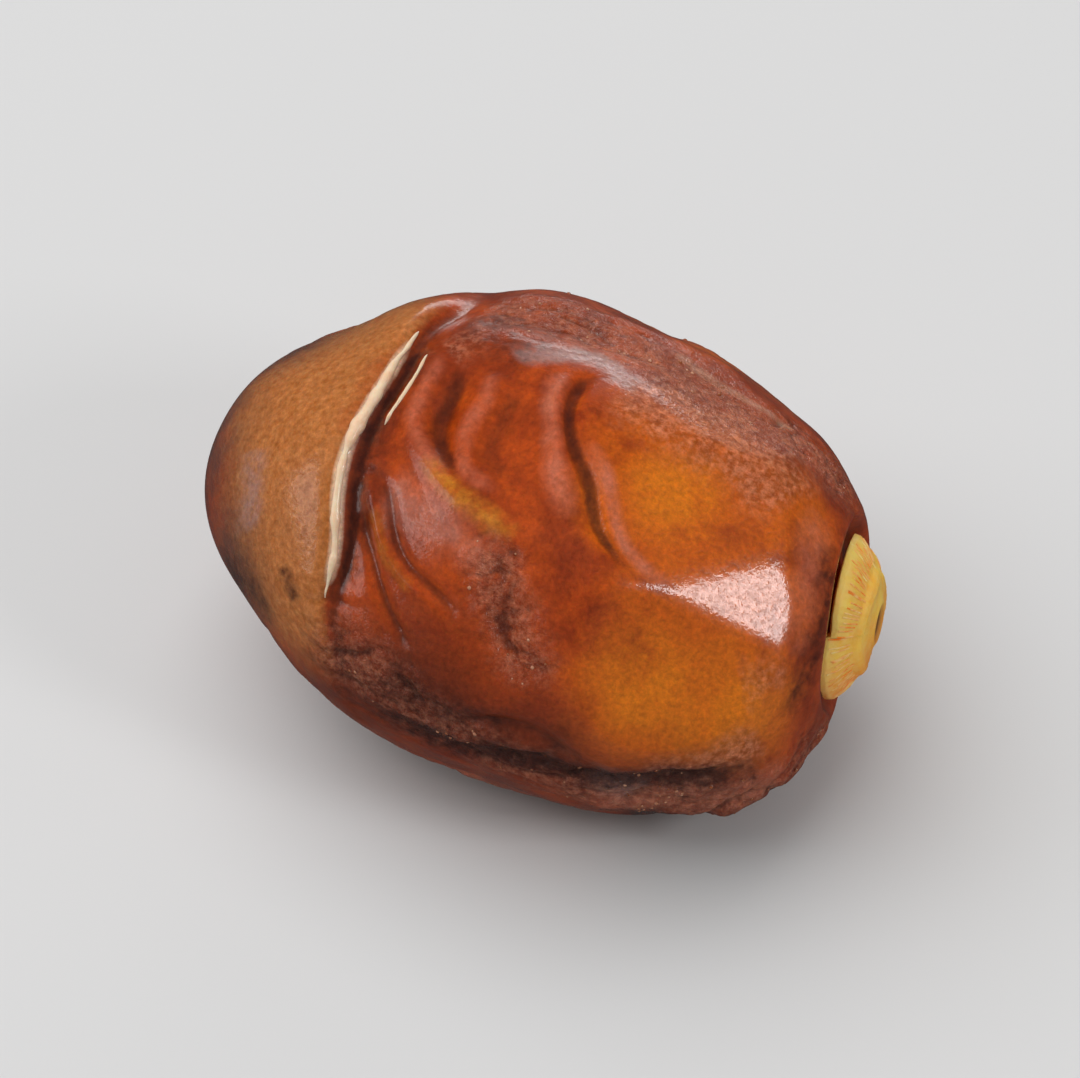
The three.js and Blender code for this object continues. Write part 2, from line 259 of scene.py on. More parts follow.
# The smooth curve through a few places
def splinePlaces(path):
    path = np.asarray(path, dtype=float)
    last = len(path) - 1
    places = []
    for share in np.linspace(0, 1, pathSamples + 1):
        start = min(int(share * last), last - 1)
        weight = share * last - start
        before, here, there, after = (path[min(max(start + step, 0), last)] for step in (-1, 0, 1, 2))
        leave, arrive = (there - before) / 2, (after - here) / 2
        cubic = (2 * here - 2 * there + leave + arrive) * weight**3
        square = (-3 * here + 3 * there - 2 * leave - arrive) * weight**2
        places.append(cubic + square + leave * weight + here)
    return np.array(places)


# A path laid on the plain body in short steps
def laidPath(path):
    directions = placeDirections(splinePlaces(path))
    points = bodyPoints(directions)
    steps = np.gradient(points, axis=0)
    halfSteps = np.linalg.norm(steps, axis=1) / 2
    along = unit(steps)
    tipSides = np.cross(along, bodyNormals(directions))
    return zip(points, along, halfSteps, tipSides)


# How far each point is from a path, how far to its tip side, and its share of the way along
def nearestOn(path, points):
    distance = np.full(len(points), np.inf)
    side = np.zeros(len(points))
    share = np.zeros(len(points))
    for i, (middle, along, halfStep, tipSide) in enumerate(laidPath(path)):
        offset = points - middle
        run = np.clip(offset @ along, -halfStep, halfStep)
        offset -= run[:, None] * along
        reach = np.sqrt(np.einsum("ij,ij->i", offset, offset))
        closer = reach < distance
        distance[closer] = reach[closer]
        side[closer] = offset[closer] @ tipSide
        share[closer] = (i + run[closer] / (2 * halfStep)) / pathSamples
    return distance, side, share


# Fades a line out at both of its ends
def endFade(share):
    return smoothStep(np.minimum(share, 1 - share), 0, foldFade)


# Even waves that cross from many directions, so that no two places look alike
def crossingWaves(points, wavelength, phase):
    total = np.zeros(len(points))
    for i in range(waveDirections):
        height = 1 - (2 * i + 1) / waveDirections
        flat = math.sqrt(1 - height * height)
        turn = goldenAngle * i + phase
        wave = np.array([flat * math.cos(turn), flat * math.sin(turn), height])
        total += np.sin(2 * math.pi * (points @ wave) / wavelength + phase * (i + 1))
    return total / math.sqrt(waveDirections / 2)


def nearPath(path, points, reach):
    return bell(nearestOn(path, points)[0], reach)


def nearPlace(place, points, radius):
    centre = bodyPoints(placeDirections([place]))[0]
    return bell(np.linalg.norm(points - centre, axis=1), radius)


# The lip stands up on its tip side and drops to the folded skin on the other
def lipHeight(points):
    distance, side, share = nearestOn(lip["path"], points)
    onTipSide = (1 + np.tanh(side / lip["edge"] / 2)) / 2
    raised = lip["rise"] * bell(distance, lip["riseReach"]) * onTipSide
    sunk = lip["drop"] * bell(distance, lip["dropReach"]) * (1 - onTipSide)
    return (raised - sunk) * endFade(share)


def roughness(points):
    return np.maximum.reduce([nearPath(path, points, reach) for path, reach, _ in puckerPatches])


# Moves points a little along the skin, so that what is near a path runs less evenly
def wandered(points, normals):
    length, phase = uneven["wanderLength"], uneven["wanderPhase"]
    waves = [crossingWaves(points, length, phase + i) for i in range(3)]
    shift = uneven["wanderReach"] * np.stack(waves, axis=1)
    return points + shift - np.sum(shift * normals, axis=1, keepdims=True) * normals


# How near each point is to a crease of the leathery network, stretched along the fruit
def creaseNetwork(points, length, stretch, sharpness, phase):
    stretched = points / np.array([stretch, 1, 1])
    return bell(crossingWaves(stretched, length, phase), sharpness)


def reliefHeight(body, normals, rough):
    points = wandered(body, normals)
    phase = uneven["wanderPhase"]
    strength = 1 + uneven["foldShare"] * crossingWaves(body, uneven["foldLength"], phase)
    height = lipHeight(points)
    height += uneven["skinHeight"] * crossingWaves(body, uneven["skinLength"], phase)
    for place, rise, radius in swells:
        height += rise * nearPlace(place, points, radius)
    for path, rise, width in folds:
        distance, _, share = nearestOn(path, points)
        height += strength * rise * bell(distance, width) * endFade(share)
    crease = creaseNetwork(body, *puckerCreases)
    for path, reach, depth in puckerPatches:
        height += depth * nearPath(path, points, reach) * (puckerBalance - crease)
    for creases, depth in fineCreases:
        height -= depth * rough * creaseNetwork(body, *creases)
    return height


# The hollow that the cap sits in, with its raised rim
def stemHollow(points, stemCentre):
    radius = np.linalg.norm(points[:, 1:] - stemCentre[1:], axis=1)
    sunk = hollow["depth"] * (1 - smoothStep(radius, hollow["floorRadius"], hollow["radius"]))
    change = hollow["rimRise"] * bell(radius - hollow["rimRadius"], hollow["rimWidth"]) - sunk
    return np.where(points[:, 0] > 0, change, 0)


# Soft flesh settles into one flat spot where it lies
def settledHeights(points):
    pastEnd = np.abs(points[:, 0] - fruit["restMiddle"][0]) - fruit["restHalfLength"]
    pastSide = np.abs(points[:, 1] - fruit["restMiddle"][1]) - fruit["restHalfWidth"]
    floor = fruit["restLevel"] + fruit["restSlope"] * np.maximum(np.maximum(pastEnd, pastSide), 0)
    return floor + clearHeight(points[:, 2] - floor, fruit["restBlend"])


# Turns (x, y, z) round, so that one side's grid serves all three axes
def turned(key, steps):
    return key[3 - steps:] + key[:3 - steps]


# A cube's grid blown up to a sphere, so that no two rows pinch at a pole
def quadSphere(across):
    mesh = bpy.data.meshes.new("quadSphere")
    steps = np.tan(np.linspace(-math.pi / 4, math.pi / 4, across + 1))
    index = {}
    corners = []
    faces = []

    def corner(i, j, k):
        key = (i, j, k)
        if key not in index:
            index[key] = len(corners)
            corners.append((steps[i], steps[j], steps[k]))
        return index[key]

    for axis in range(3):
        for end in (0, across):
            for u in range(across):
                for v in range(across):
                    ring = [(u, v), (u + 1, v), (u + 1, v + 1), (u, v + 1)]
                    if end == 0:
                        ring.reverse()
                    faces.append([corner(*turned((end, a, b), axis)) for a, b in ring])
    mesh.from_pydata(corners, [], faces)
    directions = unit(np.array(corners))
    return mesh, directions


def placeMesh(name, mesh):
    piece = bpy.data.objects.new(name, mesh)
    bpy.context.scene.collection.objects.link(piece)
    mesh.name = name
    mesh.shade_smooth()
    return piece


def addField(mesh, name, values):
    field = mesh.attributes.new(name, "FLOAT", "POINT")
    field.data.foreach_set("value", np.asarray(values, dtype=np.float32))


# How far the skin has to move to stand where the solid stands
def frameShift(points):
    low, high = points.min(axis=0) * mm, points.max(axis=0) * mm
    middle = (fruitBox[0] + fruitBox[1]) / 2
    return np.array([
        middle.x - (low[0] + high[0]) / 2,
        middle.y - (low[1] + high[1]) / 2,
        fruitBox[0].z - low[2],
    ])


stemCentre = bodyPoints(np.array([[1.0, 0.0, 0.0]]))[0]


# The finished skin in millimetres, with the plain body's points under it and how rough each place is
def skinPoints(directions):
    body = bodyPoints(directions)
    rough = roughness(body)
    normals = bodyNormals(directions)
    points = pressed(body + normals * reliefHeight(body, normals, rough)[:, None])
    points[:, 0] += stemHollow(points, stemCentre)
    points[:, 2] = settledHeights(points)
    return points, body, rough


def makeFruit():
    mesh, directions = quadSphere(fruit["quadsAcross"])
    points, body, rough = skinPoints(directions)
    shift = frameShift(points)
    mesh.vertices.foreach_set("co", (points * mm + shift).ravel())
    mesh.update()
    addSkinFields(mesh, body, bodyNormals(directions), rough)
    return placeMesh("fruitSkin", mesh), shift


smoothingRounds = 6


# How deep each point lies under the mean of its neighbours, in millimetres
def hollowness(mesh):
    count = len(mesh.vertices)
    points = np.empty(count * 3)
    mesh.vertices.foreach_get("co", points)
    points = points.reshape(-1, 3)
    normals = np.empty(count * 3)
    mesh.vertices.foreach_get("normal", normals)
    edges = np.empty(len(mesh.edges) * 2, dtype=int)
    mesh.edges.foreach_get("vertices", edges)
    one, other = edges.reshape(-1, 2).T
    links = np.bincount(np.concatenate([one, other]), minlength=count)[:, None]
    smooth = points.copy()
    for _ in range(smoothingRounds):
        total = np.zeros_like(smooth)
        np.add.at(total, one, smooth[other])
        np.add.at(total, other, smooth[one])
        smooth = total / links
    return np.sum((smooth - points) * normals.reshape(-1, 3), axis=1) / mm


# Where the skin's colours lie: each zone is places with their radius
zones = {
    "blister": [
        ([-12.4, 10], 4.6),
        ([-11.6, 40], 4.6),
        ([-11.2, 66], 4.4),
        ([-10.4, -16], 4.0),
    ],
    "amber": [
        ([9.0, 6], 4.8),
        ([13.0, 4], 3.6),
        ([6.4, 22], 2.6),
        ([12.0, 40], 5.0),
        ([11.5, 66], 5.4),
        ([9.0, 76], 3.4),
        ([6.0, -70], 5.0),
        ([-6.0, -120], 5.0),
    ],
    "glow": [
        ([13.0, 76], 3.8),
        ([9.5, 66], 3.0),
        ([8.6, 14], 2.4),
    ],
    # Painted shade, darker towards the low side and underside, partly the skin's own darker tone there
    "shade": [
        ([4.0, 92], 4.0),
        ([-2.0, 84], 4.4),
        ([10.0, 108], 4.6),
        ([-6.0, 96], 4.0),
        ([2.0, 180], 12.0),
    ],
    "scar": [
        ([-17.79, 0], 0.8),
    ],
    "greyTip": [
        ([-17.2, 20], 4.6),
        ([-14.6, 84], 3.6),
        ([-15.0, -34], 4.0),
    ],
}

# Colours that follow a fold or an edge: each is a path, its reach and its strength
strokes = {
    # Paler skin along the raised folds, with painted sheen on the ridges and on the rough bands
    "palerSkinAndSheen": [
        ([[0.8, -8], [1.2, 4], [2.0, 12], [2.8, 21], [4.0, 33]], 0.6, 0.7),
        ([[4.0, 10], [5.2, 20], [6.3, 26], [7.6, 32], [9.6, 38]], 0.45, 0.8),
        ([[-2.1, -4], [-2.2, 6], [-2.5, 17], [-2.0, 26], [0.8, 29]], 0.5, 0.5),
        ([[-5.2, -8], [-5.4, 5], [-5.3, 15], [-4.3, 25], [-2.2, 32]], 0.6, 0.5),
        ([[-6.8, 34], [-4.4, 38], [-1.8, 42], [1.6, 44]], 1.5, 0.55),
        ([[0.5, -20], [4.0, -24], [9.0, -24], [13.0, -28], [15.5, -40]], 1.8, 0.5),
        ([[6.0, 104], [9.0, 110], [13.0, 114], [15.6, 120]], 1.6, 0.7),
        ([[15.0, -6], [15.6, 24], [15.4, 60]], 1.2, 0.5),
        ([[-10.0, -84], [-2.0, -90], [7.0, -84]], 2.2, 0.7),
        ([[-7.0, -140], [4.0, -136], [12.0, -142]], 2.4, 0.7),
        ([[-10.0, 128], [0.0, 136], [8.0, 140]], 2.6, 0.7),
    ],
    # Lilac tint in places, with painted sheen on the top patch and on the slope beside the lip
    "lilacAndSheen": [
        ([[-1.2, -8], [-0.2, -11], [2.2, -15], [3.9, -11], [5.4, -10]], 0.7, 1.4),
        ([[6.4, 96], [8.2, 101], [9.6, 106]], 1.2, 0.9),
        ([[-6.6, 35], [-5.2, 39], [-3.0, 40], [-0.6, 43]], 1.0, 0.3),
        ([[-13.8, 30], [-13.6, 50], [-13.0, 66]], 1.4, 0.6),
    ],
    "grainy": [
        ([[4.0, -10], [8.0, -8], [12.0, -6], [14.4, 4]], 2.6, 1.2),
        ([[9.0, 96], [12.4, 94], [14.8, 84]], 1.6, 0.9),
        ([[13.5, 64], [15.4, 60]], 1.2, 0.6),
        ([[-3.0, -14], [-5.0, -6]], 1.2, 0.7),
    ],
    "ochre": [
        ([[-4.7, 24], [-3.2, 30], [-1.0, 34], [2.0, 38]], 0.7, 0.7),
        ([[-7.0, 40], [-5.4, 50], [-3.0, 60]], 0.5, 0.35),
    ],
    # Dark red along the grooves, with painted shade in the grooves, in the valley beside the lip, along the
    # low band and near the stem end
    "wineTintAndShade": [
        ([[-5.8, -20], [-6.5, 0], [-7.2, 20], [-7.2, 44], [-6.6, 70]], 0.8, 0.5),
        ([[-6.4, -18], [-7.1, 0], [-7.7, 20], [-7.8, 38], [-7.6, 58], [-7.3, 76]], 0.3, 1.2),
        ([[-10.6, 66], [-10.0, 71], [-9.5, 77]], 0.55, 0.7),
        ([[1.9, -8], [2.2, -1], [2.9, 9], [4.1, 20], [5.6, 31], [8.4, 39]], 0.35, 0.6),
        ([[-3.7, -4], [-3.9, 8], [-3.8, 19], [-2.4, 27]], 0.6, 0.5),
        ([[-5.0, -20], [-2.4, -15], [0.4, -12]], 2.0, 0.5),
        ([[-5.2, 84], [-1.0, 88], [3.6, 88]], 2.0, 0.5),
        ([[15.9, 0], [16.4, 30], [16.3, 62], [15.8, 88]], 1.0, 0.7),
        ([[-6.4, 97], [-1.2, 102], [4.2, 98], [8.4, 98], [12.0, 100], [15.0, 106]], 1.1, 1.2),
        ([[8.0, 122], [12.0, 134], [15.4, 138]], 1.8, 0.9),
        ([[-11.4, 84], [-13.6, 92], [-14.6, 110]], 2.0, 0.6),
    ],
    "paleEdge": [
        ([[-6.9, -16], [-7.7, 0], [-8.3, 20], [-8.4, 38], [-8.2, 58], [-8.0, 72]], 0.22, 1.0),
        ([[5.0, -34], [9.6, -33], [13.4, -36]], 0.7, 0.35),
    ],
}


# The blistered skin starts at the lip's edge and stays at the tip's end of the fruit
blisterEdge = [-0.1, 0.15]
blisterStart = [4.5, 7.5]


def zoneField(points, places):
    return np.maximum.reduce([nearPlace(place, points, radius) for place, radius in places])


def strokeField(points, lines):
    field = np.zeros(len(points))
    for path, reach, strength in lines:
        distance, _, share = nearestOn(path, points)
        field = np.maximum(field, strength * bell(distance, reach) * endFade(share))
    return field


# Keeps where each colour, painted sheen and painted shade lies as an attribute that the skin's material reads
def addSkinFields(mesh, body, normals, rough):
    points = wandered(body, normals)
    side = nearestOn(lip["path"], points)[1]
    beyondLip = smoothStep(side, *blisterEdge) * smoothStep(-body[:, 0], *blisterStart)
    for name, places in zones.items():
        field = zoneField(body, places)
        addField(mesh, name, field * beyondLip if name == "blister" else field)
    for name, lines in strokes.items():
        addField(mesh, name, strokeField(points, lines))
    addField(mesh, "rough", rough)
    # The depth of each hollow, which the skin's material turns into painted shade in the creases
    addField(mesh, "crease", hollowness(mesh))


calyx = {
    "radius": 4.4,
    "overhang": 0.95,
    "lobes": 3,
    "notch": 0.12,
    "notchWidth": 0.13,
    "overlap": 0.36,
    "lobeRoot": 1.4,
    "ringRadius": 2.5,
    "ringWidth": 0.5,
    "toothRise": 0.1,
    "faceFall": 0.95,
    "profileTop": 1.06,
    "segments": 216,
    "ringsBetween": 5,
    "fibres": 41,
    "crossFibres": 17,
    "fibreTurn": 1.3,
    "fibreBend": 2.0,
    "bendRate": 1.7,
    "fibreDepth": 0.05,
}

# Half of the cap's outline as [radius, height], from the middle of its back to the middle of its face
calyxProfile = [
    [0, -0.62],
    [2.4, -0.56],
    [3.9, -0.36],
    [calyx["radius"], -0.02],
    [calyx["radius"] - 0.06, 0.24],
    [3.9, 0.5],
    [3.3, 0.64],
    [2.95, 0.74],
    [2.75, 0.94],
    [calyx["ringRadius"], 1.02],
    [2.15, 0.96],
    [1.75, 0.92],
    [1.3, 0.98],
    [1.1, calyx["profileTop"]],
    [0.85, 0.9],
    [0, 0.78],
]


def calyxPoints(radius, angle, height):
    lobeShare = (angle / (2 * math.pi) + 0.5) * calyx["lobes"] % 1
    fromSeam = np.minimum(lobeShare, 1 - lobeShare)
    outward = smoothStep(radius, calyx["lobeRoot"], calyx["radius"])
    notch = 1 - calyx["notch"] * outward * bell(fromSeam, calyx["notchWidth"])
    ring = bell(radius - calyx["ringRadius"], calyx["ringWidth"])
    tooth = -calyx["toothRise"] * ring * np.cos(2 * math.pi * lobeShare)
    overlap = calyx["overlap"] * outward * (0.5 - lobeShare)
    fall = -calyx["faceFall"] * (radius / calyx["radius"]) ** 2
    fibre = np.sin(angle * calyx["fibres"] + calyx["fibreBend"] * np.sin(radius * calyx["bendRate"]))
    fibre *= np.sin(angle * calyx["crossFibres"] + calyx["fibreTurn"] * radius)
    relief = calyx["fibreDepth"] * outward * fibre * (height > 0)
    x = stemCentre[0] + calyx["overhang"] - calyx["profileTop"] + height + overlap + tooth + fall + relief
    y = stemCentre[1] + notch * radius * np.sin(angle)
    z = stemCentre[2] + notch * radius * np.cos(angle)
    return np.stack([x, y, z], axis=1)


def makeCalyx(shift):
    stations = np.arange(len(calyxProfile))
    finer = np.linspace(0, stations[-1], stations[-1] * calyx["ringsBetween"] + 1)
    radii, heights = (np.interp(finer, stations, column) for column in np.array(calyxProfile).T)
    segments = calyx["segments"]
    angles = np.arange(segments) * 2 * math.pi / segments
    rings = len(finer) - 2
    radius = np.concatenate([[0], np.repeat(radii[1:-1], segments), [0]])
    height = np.concatenate([heights[:1], np.repeat(heights[1:-1], segments), heights[-1:]])
    angle = np.concatenate([[0], np.tile(angles, rings), [0]])
    points = calyxPoints(radius, angle, height) * mm + shift
    last = len(points) - 1
    faces = []
    for k in range(segments):
        after = (k + 1) % segments
        faces.append([0, 1 + after, 1 + k])
        faces.append([last, last - segments + k, last - segments + after])
        for ring in range(rings - 1):
            low, high = 1 + ring * segments, 1 + (ring + 1) * segments
            faces.append([low + k, low + after, high + after, high + k])
    mesh = bpy.data.meshes.new("calyxCap")
    mesh.from_pydata([tuple(point) for point in points], [], faces)
    mesh.update()
    addField(mesh, "outward", radius / calyx["radius"])
    addField(mesh, "low", -radius / calyx["radius"] * np.cos(angle))
    return placeMesh("calyxCap", mesh)


# Camera at the photograph's viewing angle
view = {"azimuth": 16, "elevation": 47, "distance": 0.36, "width": 0.056, "sensor": 36}


def direction(azimuth, elevation):
    a, e = math.radians(azimuth), math.radians(elevation)
    return Vector((math.sin(a) * math.cos(e), -math.cos(a) * math.cos(e), math.sin(e)))


def aimAt(thing, place, target):
    thing.location = place
    thing.rotation_euler = (target - place).to_track_quat("-Z", "Y").to_euler()


boxMiddle = (Vector(cadBox[0]) + Vector(cadBox[1])) / 2


def makeCamera():
    lens = bpy.data.cameras.new("photoCamera")
    lens.sensor_width = view["sensor"]
    lens.sensor_fit = "HORIZONTAL"
    lens.lens = view["sensor"] * view["distance"] / view["width"]
    camera = bpy.data.objects.new("photoCamera", lens)
    bpy.context.scene.collection.objects.link(camera)
    back = direction(view["azimuth"], view["elevation"])
    aimAt(camera, boxMiddle + back * view["distance"], boxMiddle)
    bpy.context.scene.camera = camera
    print("camera ready")
    return back


def makeAreaLight(name, place, target, size, power):
    lamp = bpy.data.lights.new(name, "AREA")
    lamp.shape = "RECTANGLE"
    lamp.size, lamp.size_y = size
    lamp.energy = power
    light = bpy.data.objects.new(name, lamp)
    bpy.context.scene.collection.objects.link(light)
    aimAt(light, place, target)
    return light


# Each softbox stands where the skin at its highlight mirrors it into the camera, and rolls about its own axis
softboxes = {
    "keyLight": {"highlight": [13.2, 38], "distance": 0.28, "size": (0.07, 0.07), "roll": 45, "power": 0.16},
    "backLight": {"highlight": [0.6, -15], "distance": 0.32, "size": (0.16, 0.1), "roll": 0, "power": 0.12},
    "sideLight": {"highlight": [-4.6, 40], "distance": 0.3, "size": (0.16, 0.12), "roll": 0, "power": 0.07},
    "fillLight": {"highlight": [-4.0, 0], "distance": 0.6, "size": (0.9, 0.9), "roll": 0, "power": 4.4},
}
mattLights = ["fillLight"]
spotReach = 0.06

# The sky is weaker in the skin's gloss than it is as light, so that the skin's own colour stays deep
skyStrength = {"lit": 0.26, "mirrored": 0.05}


# Where the skin is at a place, and the way it faces there
def skinSpot(directions, shift):
    side = unit(np.cross(directions[0], [0.0, 0.0, 1.0]))
    rise = np.cross(side, directions[0])
    around = directions + spotReach * np.array([0 * side, side, -side, rise, -rise])
    middle, right, left, top, bottom = skinPoints(unit(around))[0] * mm + shift
    normal = Vector(np.cross(right - left, top - bottom)).normalized()
    outward = Vector(bodyNormals(directions)[0])
    return Vector(middle), normal if normal.dot(outward) > 0 else -normal


def makeSoftboxes(back, shift):
    for name, box in softboxes.items():
        spot, normal = skinSpot(placeDirections([box["highlight"]]), shift)
        towards = 2 * normal.dot(back) * normal - back
        light = makeAreaLight(name, spot + towards * box["distance"], spot, box["size"], box["power"])
        light.rotation_euler.rotate_axis("Z", math.radians(box["roll"]))
        light.visible_glossy = name not in mattLights
        print(name, "stands towards", [round(value, 2) for value in towards])


def makeSky():
    world = bpy.data.worlds.new("studio")
    world.use_nodes = True
    sky = world.node_tree.nodes["Background"]
    sky.inputs["Color"].default_value = (1, 1, 1, 1)
    ray = world.node_tree.nodes.new("ShaderNodeLightPath")
    strength = world.node_tree.nodes.new("ShaderNodeMapRange")
    strength.inputs["To Min"].default_value = skyStrength["lit"]
    strength.inputs["To Max"].default_value = skyStrength["mirrored"]
    world.node_tree.links.new(ray.outputs["Is Glossy Ray"], strength.inputs["Value"])
    world.node_tree.links.new(strength.outputs["Result"], sky.inputs["Strength"])
    bpy.context.scene.world = world
    bpy.context.scene.view_settings.view_transform = "Standard"
    print("sky ready")


# A screen colour's channel as the share of light that Blender works with
def lightShare(channel):
    share = channel / 255
    return share / 12.92 if share < 0.04 else ((share + 0.055) / 1.055) ** 2.4


def tone(red, green, blue):
    return (lightShare(red), lightShare(green), lightShare(blue), 1)


# A material whose colours and bumps are put together from noises and from the mesh's own attributes
class Tree:
    def __init__(self, name):
        self.material = bpy.data.materials.new(name)
        self.material.use_nodes = True
        self.nodes = self.material.node_tree.nodes
        self.links = self.material.node_tree.links
        self.shader = self.nodes["Principled BSDF"]

    def put(self, socket, value):
        if isinstance(value, bpy.types.NodeSocket):
            self.links.new(value, socket)
        else:
            socket.default_value = value

    def field(self, name):
        node = self.nodes.new("ShaderNodeAttribute")
        node.attribute_name = name
        return node.outputs["Fac"]

    def place(self):
        node = self.nodes.new("ShaderNodeTexCoord")
        return node.outputs["Object"]

    def noise(self, size, detail=3.0, roughness=0.55, distortion=0.0):
        node = self.nodes.new("ShaderNodeTexNoise")
        self.put(node.inputs["Vector"], self.place())
        self.put(node.inputs["Scale"], 1 / (size * mm))
        self.put(node.inputs["Detail"], detail)
        self.put(node.inputs["Roughness"], roughness)
        self.put(node.inputs["Distortion"], distortion)
        return node.outputs["Fac"]

    def times(self, first, second):
        node = self.nodes.new("ShaderNodeMath")
        node.operation = "MULTIPLY"
        self.put(node.inputs[0], first)
        self.put(node.inputs[1], second)
        return node.outputs[0]

    def spread(self, value, low, high, toLow=0.0, toHigh=1.0):
        node = self.nodes.new("ShaderNodeMapRange")
        ends = {"Value": value, "From Min": low, "From Max": high, "To Min": toLow, "To Max": toHigh}
        for name, setting in ends.items():
            self.put(node.inputs[name], setting)
        return node.outputs["Result"]

    def mix(self, share, first, second, blend="MIX"):
        node = self.nodes.new("ShaderNodeMix")
        node.data_type = "RGBA"
        node.blend_type = blend
        self.put(node.inputs["Factor"], share)
        self.put(node.inputs[6], first)
        self.put(node.inputs[7], second)
        return node.outputs[2]

    # Lays a tone over a colour where an attribute is, with the edge made ragged by a noise; the tones include
    # painted shade and painted sheen
    def lay(self, color, over, name, noise, low=0.1, high=0.9, strength=0.8, raggedness=0.5):
        raggedField = self.times(self.spread(noise, 0.3, 0.7, 1 - raggedness, 1 + raggedness), self.field(name))
        return self.mix(self.spread(raggedField, low, high, 0.0, strength), color, over)

    def bump(self, height, depth, strength=1.0, normal=None):
        node = self.nodes.new("ShaderNodeBump")
        self.put(node.inputs["Strength"], strength)
        self.put(node.inputs["Distance"], depth * mm)
        self.put(node.inputs["Height"], height)
        if normal is not None:
            self.put(node.inputs["Normal"], normal)
        return node.outputs["Normal"]

    def finish(self, **settings):
        for name, value in settings.items():
            self.put(self.shader.inputs[name.replace("_", " ")], value)
        return self.material


skinTones = {
    # The tone of the painted shade
    "dusk": tone(112, 38, 4),
    "deep": tone(142, 48, 4),
    "red": tone(190, 74, 4),
    "amber": tone(208, 96, 0),
    "gold": tone(228, 126, 0),
    "ochre": tone(208, 134, 30),
    # A dark red that also serves as painted shade in grooves and creases
    "wineTintAndShade": tone(52, 14, 8),
    "tan": tone(170, 96, 34),
    "sand": tone(204, 130, 70),
    "pink": tone(206, 118, 88),
    "leather": tone(228, 152, 116),
    # A lilac tint that also serves as painted sheen
    "lilacAndSheen": tone(170, 132, 124),
    "umber": tone(116, 54, 30),
    "grey": tone(94, 62, 54),
    "cream": tone(255, 220, 186),
    "peach": tone(240, 160, 110),
    "syrup": tone(206, 148, 118),
    "darkSyrup": tone(150, 84, 50),
}


def ripeFleshAndShade(tree, mottle, speckle):
    color = tree.mix(tree.spread(mottle, 0.36, 0.64), skinTones["deep"], skinTones["red"])
    color = tree.lay(color, skinTones["amber"], "amber", mottle, 0.15, 0.6, 1.0)
    color = tree.lay(color, skinTones["gold"], "glow", mottle, 0.15)
    color = tree.mix(tree.spread(speckle, 0.5, 0.72, 0.0, 0.18), color, skinTones["deep"])
    # Painted shade towards the low side, over the flesh's own colours
    return tree.lay(color, skinTones["dusk"], "shade", mottle, high=0.8, strength=0.85)


def looseSkinAndSheen(tree, color, speckle, patchy):
    bumps = tree.spread(tree.noise(0.4, 4.0, 0.6), 0.3, 0.7)
    bumpy = tree.mix(bumps, skinTones["tan"], skinTones["sand"])
    color = tree.lay(color, bumpy, "blister", speckle, 0.05, 0.5, 0.95, 0.2)
    color = tree.lay(color, skinTones["grey"], "greyTip", patchy, high=1.0, raggedness=0.3)
    color = tree.lay(color, skinTones["ochre"], "ochre", speckle)
    # Paler folds with painted sheen, then a lilac tint with painted sheen in places
    color = tree.lay(color, skinTones["pink"], "palerSkinAndSheen", patchy, strength=0.75)
    return tree.lay(color, skinTones["lilacAndSheen"], "lilacAndSheen", speckle, strength=0.75)


def creasesAndEdges(tree, color, speckle, patchy):
    granule = tree.spread(tree.noise(0.4, 3.0, 0.7), 0.4, 0.64)
    granules = tree.mix(granule, skinTones["umber"], skinTones["leather"])
    color = tree.lay(color, granules, "rough", patchy, 0.3, 1.0, 0.35, 0.6)
    color = tree.lay(color, granules, "grainy", patchy, strength=0.5)
    # Dark red with painted shade along the grooves and the low band
    color = tree.lay(color, skinTones["wineTintAndShade"], "wineTintAndShade", speckle)
    # Painted shade in the creases, darker the deeper each point lies
    color = tree.mix(tree.spread(tree.field("crease"), 0.01, 0.07, 0.0, 0.45), color, skinTones["wineTintAndShade"])
    color = tree.lay(color, skinTones["umber"], "scar", speckle, 0.2, 0.8, 1.0)
    return tree.lay(color, skinTones["cream"], "paleEdge", speckle, 0.25, 0.8, 1.0, 0.1)


def skinMaterial():
    tree = Tree("dateSkin")
    mottle = tree.noise(2.8, 4.0, 0.6, 0.4)
    speckle = tree.noise(0.7, 3.0, 0.6)
    grain = tree.noise(0.28, 2.0, 0.7)
    patchy = tree.noise(1.3, 4.0, 0.65)
    leathery = tree.noise(0.5, 4.0, 0.75, 0.4)
    color = ripeFleshAndShade(tree, mottle, speckle)
    color = looseSkinAndSheen(tree, color, speckle, patchy)
    color = creasesAndEdges(tree, color, speckle, patchy)
    color = tree.mix(1.0, color, tree.spread(grain, 0.3, 0.7, 0.76, 1.2), "MULTIPLY")
    rough = tree.field("rough")
    normal = tree.bump(grain, 0.045, 0.45)
    normal = tree.bump(leathery, 0.3, tree.spread(rough, 0.15, 0.9, 0.0, 0.9), normal)
    return tree.finish(
        Base_Color=color,
        Roughness=tree.spread(rough, 0.0, 1.0, 0.36, 0.55),
        Normal=normal,
        Coat_Normal=normal,
        Coat_Weight=tree.spread(grain, 0.36, 0.62, 0.45, 1.0),
        Coat_Roughness=0.1,
        Coat_IOR=1.55,
        Subsurface_Weight=0.35,
        Subsurface_Radius=(1.0, 0.35, 0.12),
        Subsurface_Scale=1.6 * mm,
    )


